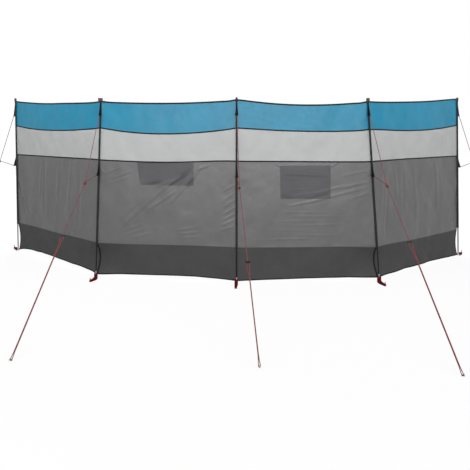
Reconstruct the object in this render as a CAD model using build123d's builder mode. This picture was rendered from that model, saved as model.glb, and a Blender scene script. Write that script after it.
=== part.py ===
from build123d import *
import os
from math import cos, radians, sin, tan

# Beach windbreak: four cloth bays on five poles, guyed and pegged to level ground.
# Millimetres, +Z up. The origin is the foot of the centre pole, and the outer face looks to -Y.

# Layout in plan: the poles stand on a shallow arc, numbered from the left as seen from outside
BAY_LENGTH = 1200
BAY_BEARINGS = (-36.8, -7.3, 3.6, 32)
INNER_LEANS = (43, 97)
END_LEANS = (86, 69)

# Depths of the sewn rows up an inner pole, the extra height at the end poles, and the hems
SKIRT_DEPTH = 266
WALL_DEPTH = 720
PALE_DEPTH = 272
TOP_DEPTH = 244
END_RISE = 35
HEM_DEPTH = 13
HEM_LIFT = 6

# How far each seam sags below its ends in the middle of a bay, left to right
HEM_SAGS = (-36, -30, -30, -40)
SKIRT_SAGS = (4, 4, 3, 4)
WALL_SAGS = (3, 10, 4, -4)
PALE_SAGS = (34, 50, 25, 32)
TOP_SAGS = (32, 28, 40, 18)

# Cloth, seams and the clearance between neighbouring pieces
CLOTH = 2
HEM_PROUD = 1
SEAM_FIN = 2
GAP = 0.3
EDGE_HOLLOW = 32
OVERRUN = 5

# Poles, their metal feet and top plugs, and the sleeves they slide into
POLE_RADIUS = 5
POLE_WALL = 1.5
FERRULE_RADIUS = 5.8
FERRULE_LENGTH = 34
PIN_RADIUS = 2.6
PIN_LENGTH = 4
PLUG_LENGTH = 28
CAP_HEIGHT = 9
CAP_TAPER_ANGLE = 22
SLEEVE_BORE = 5.8
SLEEVE_WALL = 1.3
SLEEVE_LIFT = 1.5

# Webbing loops over the pole tops, sewn to both sides of the sleeves
LOOP_WEB = 2
LOOP_WIDTH = 14
LOOP_LEG = 26
LOOP_SPRING_SHARE = 0.3

# Windows in the two middle bays: each one's width, height and drop below the wall's top seam
WINDOW_WIDTHS = (470, 426)
WINDOW_HEIGHTS = (188, 277)
WINDOW_DROPS = (22, 38)
WINDOW_START_SHARES = (0.309, 0.3025)
FILM = 1
CURTAIN_LAP = 18

# Triangular guy tabs sewn to the sleeves, one under the loop and one under the wall's top seam
UPPER_TAB_DROP = 137
UPPER_TAB_REACH = 22
LOWER_TAB_DROP = 24
LOWER_TAB_LENGTH = 106
LOWER_TAB_REACH = 36
TAB_CLOTH = 2.4
TAB_END = 10

# Guys: plan bearing from +X and reach of each peg and bridle, then the rope and its runners
GUY_BEARINGS = (150, 264.2, 271.5, 265.2, 30)
GUY_REACHES = (1280, 1366, 1276, 1436, 1280)
BRIDLE_REACHES = (265, 310, 225, 365, 280)
BRIDLE_DROPS = (92, 146, 172, 146, 90)
TENSION_SHARES = (0.38, 0.38, 0.51, 0.385, 0.38)
PAIR_RUN = 130
PAIR_END = 36
ROPE_RADIUS = 2
KNOT_RADIUS = 4
KNOT_LENGTH = 12
RUNNER_PITCH = 22
RUNNER_WIDTH = 13
RUNNER_THICKNESS = 5
RUNNER_HOLE = 2.4

# Pegs, cut off at ground level, and the webbing straps that stand on edge from the pole feet to their pegs
PEG_RADIUS = 2.6
PEG_RISE = 24
PEG_HOOK_RADIUS = 7
PEG_HOOK_ANGLE = 150
PEG_LOOP_HEIGHT = 11
STRAP_BEARINGS = (132, 267, 263, 264, 41)
STRAP_REACHES = (113, 160, 152, 175, 90)
STRAP_WIDTH = 24
STRAP_ROOTS = (-3, 2, 2, 2, -3)
STRAP_CLOTH = 2.4

BAYS = range(4)
POLES = range(5)
LAST_POLE = 4
SKIRT_TOP = SKIRT_DEPTH
WALL_TOP = SKIRT_TOP + WALL_DEPTH
PALE_TOP = WALL_TOP + PALE_DEPTH
CLOTH_TOP = PALE_TOP + TOP_DEPTH
SLEEVE_RADIUS = SLEEVE_BORE + SLEEVE_WALL
HANG = SLEEVE_RADIUS + GAP
TUBE_BORE = POLE_RADIUS - POLE_WALL
LOOP_INNER = SLEEVE_RADIUS + GAP
LOOP_OUTER = LOOP_INNER + LOOP_WEB
UPPER_TAB_FOOT = CLOTH_TOP - UPPER_TAB_DROP
LOWER_TAB_TOP = WALL_TOP - LOWER_TAB_DROP
LOWER_TAB_FOOT = LOWER_TAB_TOP - LOWER_TAB_LENGTH

os.makedirs("parts", exist_ok=True)


def heading(degrees_from_x):
    """Level unit vector at a plan bearing."""
    return Vector(cos(radians(degrees_from_x)), sin(radians(degrees_from_x)), 0)


# Heights of the cloth, the poles and the webbing loops at each pole, the end poles being higher
cloth_tops = [CLOTH_TOP + END_RISE] + [CLOTH_TOP for _ in range(3)] + [CLOTH_TOP + END_RISE]
pole_tops = [top + GAP for top in cloth_tops]
loop_springs = [top + CAP_HEIGHT * LOOP_SPRING_SHARE for top in pole_tops]
upper_tab_tops = [spring - LOOP_LEG - GAP for spring in loop_springs]

# Bay directions from left to right, and the pole feet they lead to
along = [heading(bearing) for bearing in BAY_BEARINGS]
centre_foot = Vector(0, 0, 0)
feet = [
    centre_foot - along[1] * BAY_LENGTH - along[0] * BAY_LENGTH,
    centre_foot - along[1] * BAY_LENGTH,
    centre_foot,
    centre_foot + along[2] * BAY_LENGTH,
    centre_foot + along[2] * BAY_LENGTH + along[3] * BAY_LENGTH,
]

# The inner poles lean towards the centre, within the planes of the middle bays
upright = Vector(0, 0, 1)
left_inner_axis = (upright * CLOTH_TOP + along[1] * INNER_LEANS[0]).normalized()
right_inner_axis = (upright * CLOTH_TOP - along[2] * INNER_LEANS[1]).normalized()
outward = [
    along[0].cross(left_inner_axis).normalized(),
    along[1].cross(upright).normalized(),
    along[2].cross(upright).normalized(),
    along[3].cross(right_inner_axis).normalized(),
]
upslope = [outward[bay].cross(along[bay]).normalized() for bay in BAYS]
bay_planes = [Plane(origin=feet[bay], x_dir=along[bay], z_dir=outward[bay]) for bay in BAYS]

# The end poles stay in the planes of the end bays and lean outwards, pulled by their guys
axes = [
    (upslope[0] * CLOTH_TOP - along[0] * END_LEANS[0]).normalized(),
    left_inner_axis,
    upright,
    right_inner_axis,
    (upslope[3] * CLOTH_TOP + along[3] * END_LEANS[1]).normalized(),
]
pole_outward = [outward[0]] + [(outward[n] + outward[n + 1]).normalized() for n in range(3)] + [outward[3]]
pole_planes = [Plane(origin=feet[n], x_dir=pole_outward[n], z_dir=axes[n]) for n in POLES]
half_folds = [0] + [radians(outward[n].get_angle(outward[n + 1]) / 2) for n in range(3)] + [0]


def edge_inset(pole, depth, margin):
    """Distance from a pole's line to the cloth edge, so that folded bays clear each other."""
    return depth * tan(half_folds[pole]) + margin


def edge_point(bay, side, height, inset):
    """Point of a bay's plane beside its left (0) or right (1) pole."""
    axis = axes[bay + side]
    slope = axis.dot(along[bay]) / axis.dot(upslope[bay])
    inward = inset if side == 0 else BAY_LENGTH - inset
    return Vector(inward + slope * height, height)


def seam(start, end, sag):
    """Sewn seam across a bay that sags in the middle."""
    ThreePointArc(start, (start + end) / 2 - Vector(0, sag), end)


def level(height):
    """Height of a seam at its left and right poles, where both are the same."""
    return (height, height)


def top_line(bay, drop):
    """Heights at a bay's left and right poles, so far below the top of the cloth."""
    return (cloth_tops[bay] - drop, cloth_tops[bay + 1] - drop)


def row_outline(bay, low, high, low_sag, high_sag, left_inset, right_inset):
    """Outline of one sewn row of cloth in a bay's plane, between two seams' heights at its poles."""
    low_left = edge_point(bay, 0, low[0], left_inset)
    low_right = edge_point(bay, 1, low[1], right_inset)
    high_right = edge_point(bay, 1, high[1], right_inset)
    high_left = edge_point(bay, 0, high[0], left_inset)
    seam(low_left, low_right, low_sag)
    Line(low_right, high_right)
    seam(high_right, high_left, high_sag)
    Line(high_left, low_left)


def skirt_outline(bay, left_inset, right_inset):
    """Outline of a skirt, hollow along the free edge at an end pole."""
    low_left = edge_point(bay, 0, HEM_LIFT, left_inset)
    low_right = edge_point(bay, 1, HEM_LIFT, right_inset)
    high_right = edge_point(bay, 1, SKIRT_TOP, right_inset)
    high_left = edge_point(bay, 0, SKIRT_TOP, left_inset)
    seam(low_left, low_right, HEM_SAGS[bay])
    if bay + 1 == LAST_POLE:
        ThreePointArc(low_right, (low_right + high_right) / 2 - Vector(EDGE_HOLLOW, 0), high_right)
    else:
        Line(low_right, high_right)
    seam(high_right, high_left, SKIRT_SAGS[bay])
    if bay == 0:
        ThreePointArc(high_left, (low_left + high_left) / 2 + Vector(EDGE_HOLLOW, 0), low_left)
    else:
        Line(high_left, low_left)


def write(piece, name):
    """Label a finished piece and write its STEP file."""
    piece.part.label = name
    export_step(piece.part, f"parts/{name}.step")


# Windows, as centres in their bays' planes
window_bays = (1, 2)
window_centres = {}
for number, bay in enumerate(window_bays):
    window_left = BAY_LENGTH * WINDOW_START_SHARES[number]
    window_high = WALL_TOP - WINDOW_DROPS[number]
    half_width = WINDOW_WIDTHS[number] / 2
    half_height = WINDOW_HEIGHTS[number] / 2
    window_centres[bay] = (window_left + half_width, window_high - half_height)

# Cloth rows of each bay, hung on the inner side of the sleeves
seam_depth = HANG + CLOTH + HEM_PROUD
for bay in BAYS:
    cloth_plane = bay_planes[bay].offset(-HANG - CLOTH)
    left_inset = edge_inset(bay, seam_depth, SEAM_FIN / 2 + GAP)
    right_inset = edge_inset(bay + 1, seam_depth, SEAM_FIN / 2 + GAP)

    with BuildPart() as top_band:
        with BuildSketch(cloth_plane):
            with BuildLine():
                low, high = level(PALE_TOP), top_line(bay, HEM_DEPTH)
                row_outline(bay, low, high, PALE_SAGS[bay], TOP_SAGS[bay], left_inset, right_inset)
            make_face()
        extrude(amount=CLOTH)
    write(top_band, f"top_band_{bay + 1}")

    with BuildPart() as pale_band:
        with BuildSketch(cloth_plane):
            with BuildLine():
                low, high = level(WALL_TOP), level(PALE_TOP)
                row_outline(bay, low, high, WALL_SAGS[bay], PALE_SAGS[bay], left_inset, right_inset)
            make_face()
        extrude(amount=CLOTH)
    write(pale_band, f"pale_band_{bay + 1}")

    with BuildPart() as wall:
        with BuildSketch(cloth_plane):
            with BuildLine():
                low, high = level(SKIRT_TOP), level(WALL_TOP)
                row_outline(bay, low, high, SKIRT_SAGS[bay], WALL_SAGS[bay], left_inset, right_inset)
            make_face()
            if bay in window_bays:
                with Locations(window_centres[bay]):
                    Rectangle(WINDOW_WIDTHS[bay - 1], WINDOW_HEIGHTS[bay - 1], mode=Mode.SUBTRACT)
        extrude(amount=CLOTH)
    write(wall, f"wall_{bay + 1}")

    skirt_left = edge_inset(bay, HANG + CLOTH, GAP)
    skirt_right = edge_inset(bay + 1, HANG + CLOTH, GAP)
    with BuildPart() as skirt:
        with BuildSketch(cloth_plane):
            with BuildLine():
                skirt_outline(bay, skirt_left, skirt_right)
            make_face()
        extrude(amount=CLOTH)
    write(skirt, f"skirt_{bay + 1}")

# Bound hem along the top of each bay, thicker on the inner side
with BuildPart() as top_hems:
    for bay in BAYS:
        left_inset = edge_inset(bay, seam_depth, SEAM_FIN / 2 + GAP)
        right_inset = edge_inset(bay + 1, seam_depth, SEAM_FIN / 2 + GAP)
        with BuildSketch(bay_planes[bay].offset(-seam_depth)):
            with BuildLine():
                low, high = top_line(bay, HEM_DEPTH), top_line(bay, 0)
                row_outline(bay, low, high, TOP_SAGS[bay], TOP_SAGS[bay], left_inset, right_inset)
            make_face()
        extrude(amount=CLOTH + HEM_PROUD)
write(top_hems, "top_hems")

# Clear film in the window openings, and the cloth curtains that close them from inside
with BuildPart() as window_films:
    for number, bay in enumerate(window_bays):
        with BuildSketch(bay_planes[bay].offset(-HANG - CLOTH)):
            with Locations(window_centres[bay]):
                Rectangle(WINDOW_WIDTHS[number] - 2 * GAP, WINDOW_HEIGHTS[number] - 2 * GAP)
        extrude(amount=FILM)
write(window_films, "window_films")

with BuildPart() as window_curtains:
    for number, bay in enumerate(window_bays):
        with BuildSketch(bay_planes[bay].offset(-HANG - CLOTH - GAP - CLOTH)):
            with Locations(window_centres[bay]):
                Rectangle(WINDOW_WIDTHS[number] + 2 * CURTAIN_LAP, WINDOW_HEIGHTS[number] + 2 * CURTAIN_LAP)
        extrude(amount=CLOTH)
write(window_curtains, "window_curtains")

# Poles: drawn tubes standing on their ferrules
for pole in POLES:
    with BuildPart() as tube:
        with BuildSketch(pole_planes[pole].offset(PIN_LENGTH + FERRULE_LENGTH)):
            Circle(POLE_RADIUS)
            Circle(TUBE_BORE, mode=Mode.SUBTRACT)
        extrude(amount=pole_tops[pole] - PIN_LENGTH - FERRULE_LENGTH)
    write(tube, f"pole_{pole + 1}")

    # Sleeve sewn round the pole, with the seam fin that joins it between the bays
    with BuildPart() as sleeve:
        with BuildSketch(pole_planes[pole].offset(SKIRT_TOP + SLEEVE_LIFT)):
            Circle(SLEEVE_RADIUS)
            with Locations((-(HANG + CLOTH) / 2, 0)):
                Rectangle(HANG + CLOTH, SEAM_FIN)
            Circle(SLEEVE_BORE, mode=Mode.SUBTRACT)
        extrude(amount=cloth_tops[pole] - SKIRT_TOP - SLEEVE_LIFT)
    write(sleeve, f"sleeve_{pole + 1}")

# Metal feet: a ferrule under each tube, plugged into its bore, with a pin that stands on the ground
with BuildPart() as pole_feet:
    for pole in POLES:
        with BuildSketch(pole_planes[pole].offset(-OVERRUN)):
            Circle(PIN_RADIUS)
        extrude(amount=OVERRUN + PIN_LENGTH)
        with BuildSketch(pole_planes[pole].offset(PIN_LENGTH)):
            Circle(FERRULE_RADIUS)
        extrude(amount=FERRULE_LENGTH)
        with BuildSketch(pole_planes[pole].offset(PIN_LENGTH + FERRULE_LENGTH)):
            Circle(TUBE_BORE - GAP)
        extrude(amount=PLUG_LENGTH)
    split(bisect_by=Plane.XY, keep=Keep.TOP)
write(pole_feet, "pole_feet")

# Tapered plugs in the tops of the tubes, seated on the sleeves
with BuildPart() as pole_caps:
    for pole in POLES:
        with BuildSketch(pole_planes[pole].offset(pole_tops[pole] - PLUG_LENGTH)):
            Circle(TUBE_BORE - GAP)
        extrude(amount=PLUG_LENGTH)
        with BuildSketch(pole_planes[pole].offset(pole_tops[pole])):
            Circle(SLEEVE_RADIUS)
        extrude(amount=CAP_HEIGHT, taper=CAP_TAPER_ANGLE)
write(pole_caps, "pole_caps")

# Webbing loops that keep the cloth on the pole tops, laid over the plugs
with BuildPart() as pole_loops:
    for pole in POLES:
        spring = feet[pole] + axes[pole] * loop_springs[pole]
        side_way = axes[pole].cross(pole_outward[pole])
        with BuildSketch(Plane(origin=spring, x_dir=side_way, z_dir=pole_outward[pole])):
            Circle(LOOP_OUTER)
            with Locations((0, -LOOP_LEG / 2)):
                Rectangle(2 * LOOP_OUTER, LOOP_LEG)
            Circle(LOOP_INNER, mode=Mode.SUBTRACT)
            with Locations((0, -LOOP_LEG / 2)):
                Rectangle(2 * LOOP_INNER, LOOP_LEG, mode=Mode.SUBTRACT)
        extrude(amount=LOOP_WIDTH / 2, both=True)
write(pole_loops, "pole_loops")

# Guy planes: each stands on its pole, with X pointing out along the guy and Y up the pole
guy_ways = [heading(bearing) for bearing in GUY_BEARINGS]
guy_sides = [guy_ways[pole].cross(axes[pole]).normalized() for pole in POLES]
tab_ways = [axes[pole].cross(guy_sides[pole]) for pole in POLES]
tab_planes = [Plane(origin=feet[pole], x_dir=tab_ways[pole], z_dir=guy_sides[pole]) for pole in POLES]
tab_root = SLEEVE_RADIUS + GAP

# Each kind of tab, as its name, its top at each pole, its lower edge and its reach from the sleeve
tab_kinds = (
    ("upper_guy_tabs", upper_tab_tops, UPPER_TAB_FOOT, UPPER_TAB_REACH),
    ("lower_guy_tabs", [LOWER_TAB_TOP for _ in POLES], LOWER_TAB_FOOT, LOWER_TAB_REACH),
)
for name, tops, foot, reach in tab_kinds:
    with BuildPart() as tabs:
        for pole in POLES:
            with BuildSketch(tab_planes[pole]):
                with BuildLine():
                    Polyline(
                        (tab_root, tops[pole]),
                        (tab_root, foot),
                        (tab_root + reach, foot),
                        (tab_root + reach, foot + TAB_END),
                        close=True,
                    )
                make_face()
            extrude(amount=TAB_CLOTH / 2, both=True)
    write(tabs, name)

# Places along each guy: the bridle runner's ends, the tension runner and the peg
peg_points = [feet[pole] + guy_ways[pole] * GUY_REACHES[pole] + upright * PEG_LOOP_HEIGHT for pole in POLES]
bridle_heights = [WALL_TOP - drop for drop in BRIDLE_DROPS]
bridle_points = [
    feet[pole] + axes[pole] * bridle_heights[pole] + guy_ways[pole] * BRIDLE_REACHES[pole] for pole in POLES
]
line_ways = [(peg_points[pole] - bridle_points[pole]).normalized() for pole in POLES]
line_lengths = [(peg_points[pole] - bridle_points[pole]).length for pole in POLES]
cross_ways = [line_ways[pole].cross(upright).normalized() for pole in POLES]
flat_ways = [cross_ways[pole].cross(line_ways[pole]).normalized() for pole in POLES]
tension_points = [
    bridle_points[pole] + line_ways[pole] * line_lengths[pole] * TENSION_SHARES[pole] for pole in POLES
]
end_stop = RUNNER_WIDTH / 2 + GAP
loop_radius = PEG_RADIUS + GAP + ROPE_RADIUS
pair_half = ROPE_RADIUS + GAP


def strand_plane(start, end):
    """Plane across a taut strand at its start."""
    return Plane(origin=start, z_dir=(end - start).normalized())


for pole in POLES:
    with BuildPart() as rope:
        # Two bridle legs, each tied to its tab and led to the upper end of the bridle runner
        for _, _, foot, reach in tab_kinds:
            tip = tab_planes[pole].from_local_coords(Vector(tab_root + reach, foot))
            leg_way = (bridle_points[pole] - tip).normalized()
            rise_share = max(0, leg_way.dot(axes[pole]))
            knot_start = tip + leg_way * (GAP + KNOT_RADIUS * rise_share)
            leg_start = knot_start + leg_way * KNOT_LENGTH
            leg_end = bridle_points[pole] - leg_way * end_stop
            with BuildSketch(strand_plane(knot_start, leg_end)):
                Circle(KNOT_RADIUS)
            extrude(amount=KNOT_LENGTH)
            with BuildSketch(strand_plane(leg_start, leg_end)):
                Circle(ROPE_RADIUS)
            extrude(amount=(leg_end - leg_start).length)
        # Single line from the bridle runner to the tension runner
        line_start = bridle_points[pole] + line_ways[pole] * (RUNNER_PITCH + end_stop)
        line_end = tension_points[pole] - line_ways[pole] * end_stop
        with BuildSketch(strand_plane(line_start, line_end)):
            Circle(ROPE_RADIUS)
        extrude(amount=(line_end - line_start).length)
        # Doubled rope from the tension runner's two ends, drawn together, round the peg and back
        loop_plane = Plane(origin=peg_points[pole], x_dir=line_ways[pole], z_dir=flat_ways[pole])
        loop_start = end_stop - (peg_points[pole] - tension_points[pole]).length
        with BuildLine(loop_plane) as loop:
            FilletPolyline(
                (loop_start, RUNNER_PITCH / 2),
                (loop_start + PAIR_RUN, pair_half),
                (-PAIR_END, pair_half),
                (-2 * loop_radius, loop_radius),
                (loop_radius, loop_radius),
                (loop_radius, -loop_radius),
                (-2 * loop_radius, -loop_radius),
                (-PAIR_END, -pair_half),
                (loop_start + PAIR_RUN, -pair_half),
                (loop_start, -RUNNER_PITCH / 2),
                radius=loop_radius - GAP,
            )
        with BuildSketch(Plane(origin=loop.line @ 0, z_dir=loop.line % 0)):
            Circle(ROPE_RADIUS)
        sweep(path=loop.line)
    write(rope, f"guy_rope_{pole + 1}")

# Runners: flat bars with three rope holes, the first along its line, the second across it
with BuildPart() as bridle_runners:
    for pole in POLES:
        middle = bridle_points[pole] + line_ways[pole] * (RUNNER_PITCH / 2)
        with BuildSketch(Plane(origin=middle, x_dir=line_ways[pole], z_dir=cross_ways[pole])):
            SlotCenterToCenter(RUNNER_PITCH, RUNNER_WIDTH)
            with GridLocations(RUNNER_PITCH / 2, 0, 3, 1):
                Circle(RUNNER_HOLE, mode=Mode.SUBTRACT)
        extrude(amount=RUNNER_THICKNESS / 2, both=True)
write(bridle_runners, "bridle_runners")

with BuildPart() as tension_runners:
    for pole in POLES:
        with BuildSketch(Plane(origin=tension_points[pole], x_dir=cross_ways[pole], z_dir=flat_ways[pole])):
            SlotCenterToCenter(RUNNER_PITCH, RUNNER_WIDTH)
            with GridLocations(RUNNER_PITCH / 2, 0, 3, 1):
                Circle(RUNNER_HOLE, mode=Mode.SUBTRACT)
        extrude(amount=RUNNER_THICKNESS / 2, both=True)
write(tension_runners, "tension_runners")

# Guy pegs: bent wire, leaning square to the rope, with the hook turned away from the pole
with BuildPart() as guy_pegs:
    for pole in POLES:
        shaft_below = peg_points[pole].Z / flat_ways[pole].Z + OVERRUN
        foot = peg_points[pole] - flat_ways[pole] * shaft_below
        with BuildLine(Plane(origin=foot, x_dir=line_ways[pole], z_dir=cross_ways[pole])) as wire:
            shaft = Line((0, 0), (0, PEG_RISE + OVERRUN))
            JernArc(shaft @ 1, shaft % 1, PEG_HOOK_RADIUS, -PEG_HOOK_ANGLE)
        with BuildSketch(Plane(origin=wire.line @ 0, z_dir=wire.line % 0)):
            Circle(PEG_RADIUS)
        sweep(path=wire.line)
    split(bisect_by=Plane.XY, keep=Keep.TOP)
write(guy_pegs, "guy_pegs")

# Foot straps: webbing on edge, from both sides of each ferrule out round the foot peg
strap_ways = [heading(bearing) for bearing in STRAP_BEARINGS]
with BuildPart() as foot_straps:
    for pole in POLES:
        lean_share = abs(axes[pole].dot(strap_ways[pole].cross(upright))) / axes[pole].Z
        inner = FERRULE_RADIUS + GAP + STRAP_WIDTH * lean_share
        outer = inner + STRAP_CLOTH
        bend = STRAP_REACHES[pole] - outer
        root = STRAP_ROOTS[pole]
        with BuildSketch(Plane(origin=feet[pole], x_dir=strap_ways[pole], z_dir=upright)):
            for half, mode in ((outer, Mode.ADD), (inner, Mode.SUBTRACT)):
                with Locations(((bend - root) / 2, 0)):
                    Rectangle(bend + root, 2 * half, mode=mode)
                with Locations((bend, 0)):
                    Circle(half, mode=mode)
        extrude(amount=STRAP_WIDTH)
write(foot_straps, "foot_straps")

with BuildPart() as foot_pegs:
    for pole in POLES:
        peg_reach = STRAP_REACHES[pole] - STRAP_CLOTH - GAP - PEG_RADIUS
        peg_foot = feet[pole] + strap_ways[pole] * peg_reach
        peg_plane = Plane(origin=peg_foot, x_dir=strap_ways[pole], z_dir=strap_ways[pole].cross(upright))
        with BuildLine(peg_plane) as wire:
            shaft = Line((0, 0), (0, PEG_RISE))
            JernArc(shaft @ 1, shaft % 1, PEG_HOOK_RADIUS, -PEG_HOOK_ANGLE)
        with BuildSketch(Plane(origin=wire.line @ 0, z_dir=wire.line % 0)):
            Circle(PEG_RADIUS)
        sweep(path=wire.line)
write(foot_pegs, "foot_pegs")
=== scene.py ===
import math

import bpy
import numpy as np
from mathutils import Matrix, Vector


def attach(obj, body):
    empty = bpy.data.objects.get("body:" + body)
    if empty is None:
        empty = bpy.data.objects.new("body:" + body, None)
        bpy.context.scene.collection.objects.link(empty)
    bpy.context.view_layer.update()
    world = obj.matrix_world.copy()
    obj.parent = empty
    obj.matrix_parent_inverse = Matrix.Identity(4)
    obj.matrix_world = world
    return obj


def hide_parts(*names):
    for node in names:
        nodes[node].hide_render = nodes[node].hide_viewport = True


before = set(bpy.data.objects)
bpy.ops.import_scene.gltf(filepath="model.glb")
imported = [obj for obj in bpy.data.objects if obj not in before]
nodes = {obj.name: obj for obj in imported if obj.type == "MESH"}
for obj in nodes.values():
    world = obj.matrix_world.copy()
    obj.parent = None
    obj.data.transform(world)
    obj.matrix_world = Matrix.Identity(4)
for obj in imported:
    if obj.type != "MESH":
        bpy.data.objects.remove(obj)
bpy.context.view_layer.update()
bpy.ops.object.select_all(action="DESELECT")

# Sizes of the part in metres

POLES = range(5)
BAYS = range(4)
PLANE_POLES = (1, 1, 3, 3)  # the inner pole that lies in each bay's plane
HANG = 0.0084  # from a pole's axis back to the middle of the cloth
EDGE_HOLLOW = 0.032
CLOTH_TOPS = (1.537, 1.502, 1.502, 1.502, 1.537)
LOOP_SPRINGS = (1.540, 1.505, 1.505, 1.505, 1.540)
SLEEVE_FOOT = 0.2675
SLEEVE_BORE = 0.0058
SLEEVE_RADIUS = 0.0071
LOOP_WEB = 0.002
LOOP_WIDTH = 0.014
LOOP_LEG = 0.026
UPPER_TAB = ("upper", (1.5137, 1.4787, 1.4787, 1.4787, 1.5137), 1.365, 0.022)  # name, tops, foot and reach
LOWER_TAB = ("lower", (0.962, 0.962, 0.962, 0.962, 0.962), 0.856, 0.036)
TAB_ROOT = 0.0074
TAB_END = 0.010
TAB_CLOTH = 0.0024
GUY_BEARINGS = (150.0, 264.2, 271.5, 265.2, 30.0)
GUY_REACHES = (1.280, 1.366, 1.276, 1.436, 1.280)
BRIDLE_REACHES = (0.265, 0.310, 0.225, 0.365, 0.280)
BRIDLE_HEIGHTS = (0.894, 0.840, 0.814, 0.840, 0.896)
TENSION_SHARES = (0.38, 0.38, 0.51, 0.385, 0.38)
PAIR_RUN = 0.130  # length over which the doubled rope draws together below its runner
PAIR_END = 0.036
RUNNER_PITCH = 0.022
PEG_LOOP_HEIGHT = 0.011
PEG_LOOP_RADIUS = 0.0049
STRAP_BEARINGS = (132.0, 267.0, 263.0, 264.0, 41.0)
STRAP_REACHES = (0.113, 0.160, 0.152, 0.175, 0.090)
STRAP_ROOTS = (-0.003, 0.002, 0.002, 0.002, -0.003)
STRAP_WIDTH = 0.024
STRAP_CLOTH = 0.0024
STRAP_GAP = 0.0003
FERRULE_RADIUS = 0.0058
CURTAIN_LAP = 0.018

# Sizes of the dressing

CLOTH = 0.0014
COLUMN_STEP = 0.0070
ROW_STEP = 0.0070
SKIRT_PULLS = {1: 0.052, 3: 0.047}  # how far the skirts' seam is drawn back behind an inner pole
SKIRT_PULL_REACH = 0.30  # share of the bay that the pull fades over
WINDOW_BAYS = (1, 2)
WINDOW_LEFTS = ((0.388, 0.358), (0.366, 0.361))  # left edge at the sill and at the head
WINDOW_RIGHTS = (0.842, 0.788)
WINDOW_LEVELS = ((0.778, 0.968), (0.672, 0.948))
FILM_SHEET = 0.001
FILM_BACK = 0.0011  # how far a film's middle lies behind the middle of the cloth
CURTAIN_BACK = 0.0042
TAPE_WIDTH = 0.0115
TAPE_PROUD = 0.0009
EDGE_BINDING = 0.010
PIPING_RADII = {1: 0.0078, 2: 0.0034, 3: 0.0078}
PIPING_PROUD = 0.0012
SLEEVE_CLOTH = 0.0014
SLEEVE_SEAM = 0.0008  # half thickness of the two sewn edges that run back to the cloth
SLEEVE_SLIT = 0.0002
SLEEVE_RINGS = 100
SLEEVE_SLACK = 0.22  # how much wider a sleeve lies beside the wall, as a share
SLEEVE_SLACK_TOP = 1.02
SLEEVE_SLACK_RUN = 0.10
SLEEVE_SHORT = 0.0006  # how far a sleeve ends below the top of the cloth
LOOP_HALVES = (0.0084, 0.0150, 0.0084, 0.0110, 0.0084)  # half width of each webbing loop over its pole
LOOP_RISE = 0.0084
PATCH_HALVES = {1: (0.023, 0.0115), 3: (0.015, 0.009)}  # half width and half height of the webbing tops
PATCH_PROUD = 0.0088
PATCH_CURVE = 0.004
PATCH_DROP = 0.003
TAB_LAP = 0.0008
TAB_FLARE = 0.0016
TAB_SWELL = 0.0240  # how much thicker the lower corner of a tab is at the sleeve
EYE_BACK = 0.004
EYE_RADIUS = 0.0030
EYE_LENGTH = 0.010
KNOT_TURNS = 2.5
KNOT_RADIUS = 0.0085
KNOT_LENGTH = 0.017
ROPE_RADIUS = 0.0024
ROPE_SIDES = 8
ROPE_TWIST = 0.011  # length of one turn of the lay
ROPE_STEP = 0.0035
ROPE_SWELL = 0.07  # share of the radius that a strand stands out
ROPE_TUCK = 0.003  # how far a rope's end goes into a tab
ROPE_STOP = 0.004  # how far a rope ends from the point that its runner sits at
KNOT_START = 0.003  # from the point where a bridle's legs meet to its turns of rope
PAIR_SPREAD = 1.04  # half the distance between the ropes of a doubled run, in rope radii
PAIR_TURNS = (0.0, 0.0, 50.0, 0.0, 0.0)  # degrees that each doubled run of rope is turned over
STRAP_LIFT = 0.0005
STRAP_KNEES = (0.0, 0.024, 0.0, -0.024, 0.0)  # how far a slack strap bows to one side
STRAP_BULGE = 0.7  # how much wider apart the two sides of a strap lie, as a share
STRAP_END_SHARE = 0.6  # of a strap's width that stands up at its peg
INNER_START = 0.006
INNER_HEIGHT = 0.018
INNER_DIP = 0.006


# Layout, read from the poles of the frame

def unit(way):
    return way / np.linalg.norm(way)


def heading(degrees_from_x):
    angle = math.radians(degrees_from_x)
    return np.array([math.cos(angle), math.sin(angle), 0.0])


def mesh_points(obj):
    points = np.empty(len(obj.data.vertices) * 3)
    obj.data.vertices.foreach_get("co", points)
    return points.reshape(-1, 3)


def pole_line(pole):
    """The point where a pole's axis meets the ground, and the way that the axis points."""
    points = mesh_points(nodes[f"pole_{pole + 1}"])
    middle = (points[:, 2].min() + points[:, 2].max()) / 2
    low = points[points[:, 2] < middle].mean(axis=0)
    high = points[points[:, 2] > middle].mean(axis=0)
    axis = unit(high - low)
    return low - axis * (low[2] / axis[2]), axis


UP = np.array([0.0, 0.0, 1.0])
pole_lines = [pole_line(pole) for pole in POLES]
feet = [line[0] for line in pole_lines]
axes = [line[1] for line in pole_lines]
along = [unit(feet[bay + 1] - feet[bay]) for bay in BAYS]
bay_lengths = [np.linalg.norm(feet[bay + 1] - feet[bay]) for bay in BAYS]
outward = [unit(np.cross(along[bay], axes[PLANE_POLES[bay]])) for bay in BAYS]
upslope = [np.cross(outward[bay], along[bay]) for bay in BAYS]
pole_out = [outward[0]] + [unit(outward[n - 1] + outward[n]) for n in (1, 2, 3)] + [outward[3]]
half_folds = [0.0] + [math.acos(outward[n - 1].dot(outward[n])) / 2 for n in (1, 2, 3)] + [0.0]


def edge_slope(bay, pole):
    return axes[pole].dot(along[bay]) / axes[pole].dot(upslope[bay])


# Seams: heights of each one across each bay, at these shares from its left pole to its right one

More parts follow.
